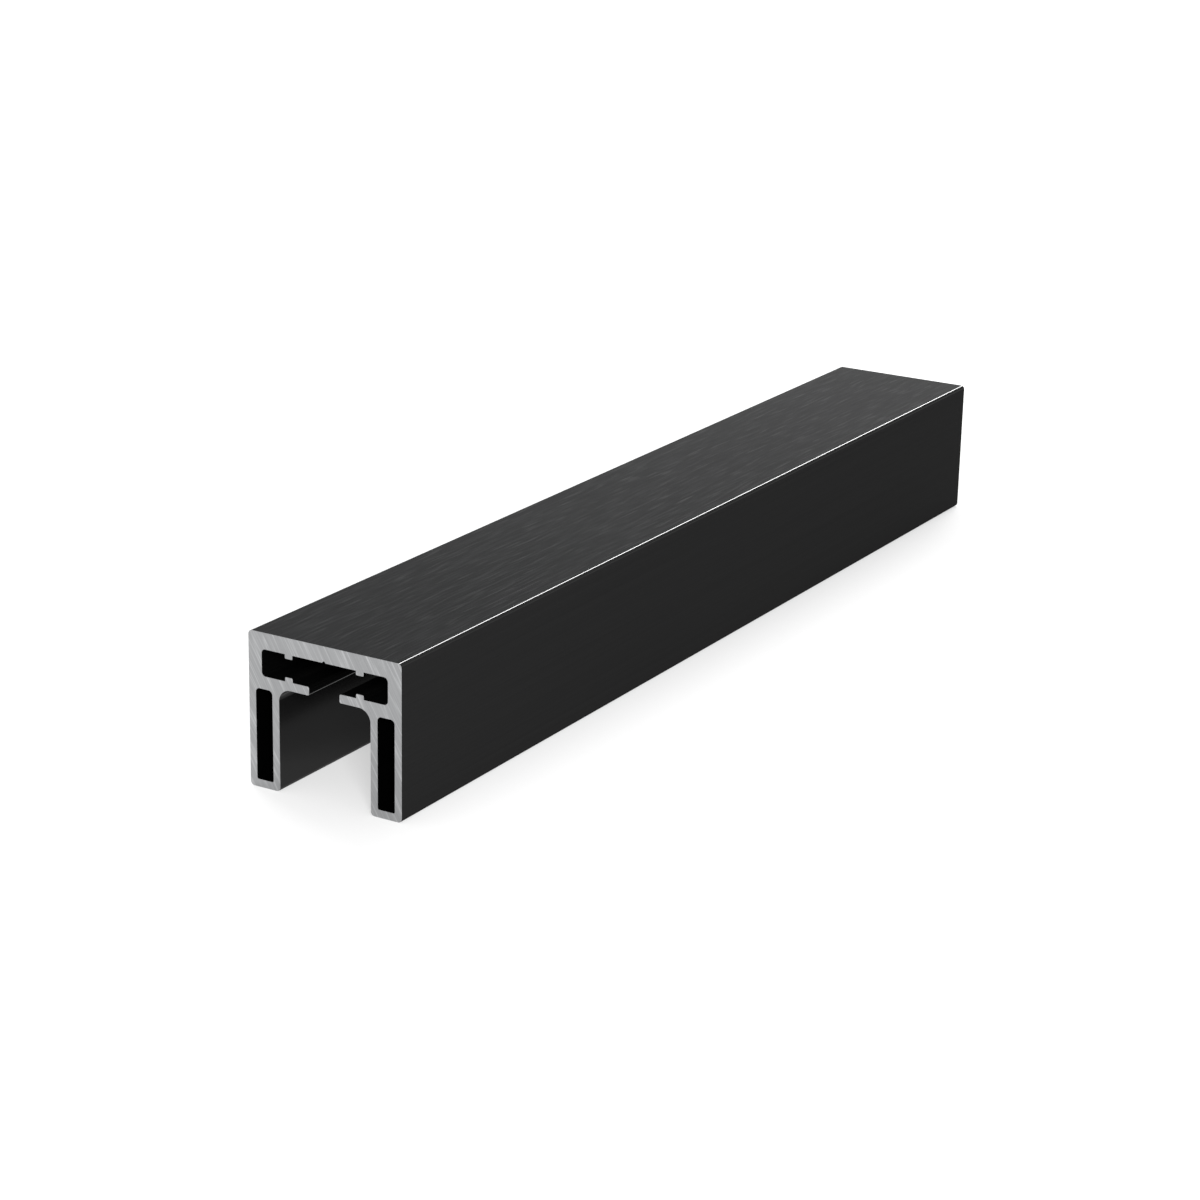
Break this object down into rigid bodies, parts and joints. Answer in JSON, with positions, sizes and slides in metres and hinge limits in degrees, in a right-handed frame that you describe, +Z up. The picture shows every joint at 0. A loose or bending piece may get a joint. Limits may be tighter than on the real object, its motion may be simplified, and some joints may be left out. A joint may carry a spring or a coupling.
{
  "type": "glass railing top cap rail",
  "caption": "Straight black anodised aluminium cap rail of inverted U section with hollow legs, pushed over the top edge of a glass railing; the lipped slot above the groove takes connectors.",
  "frame": {"origin": "middle of the length and width, on the plane of the two feet", "axes": "+X along the rail, away from the end seen in the picture; +Z up, out of the top face; -Y towards the side seen in the picture"},
  "size_m": [0.285, 0.04, 0.036],
  "materials": {
    "black_anodised": "black anodised, brushed along its length on top, satin elsewhere, bare metal at the sawn ends"
  },
  "bodies": {
    "root": {"cap_rail": "black_anodised"}
  },
  "joints": []
}
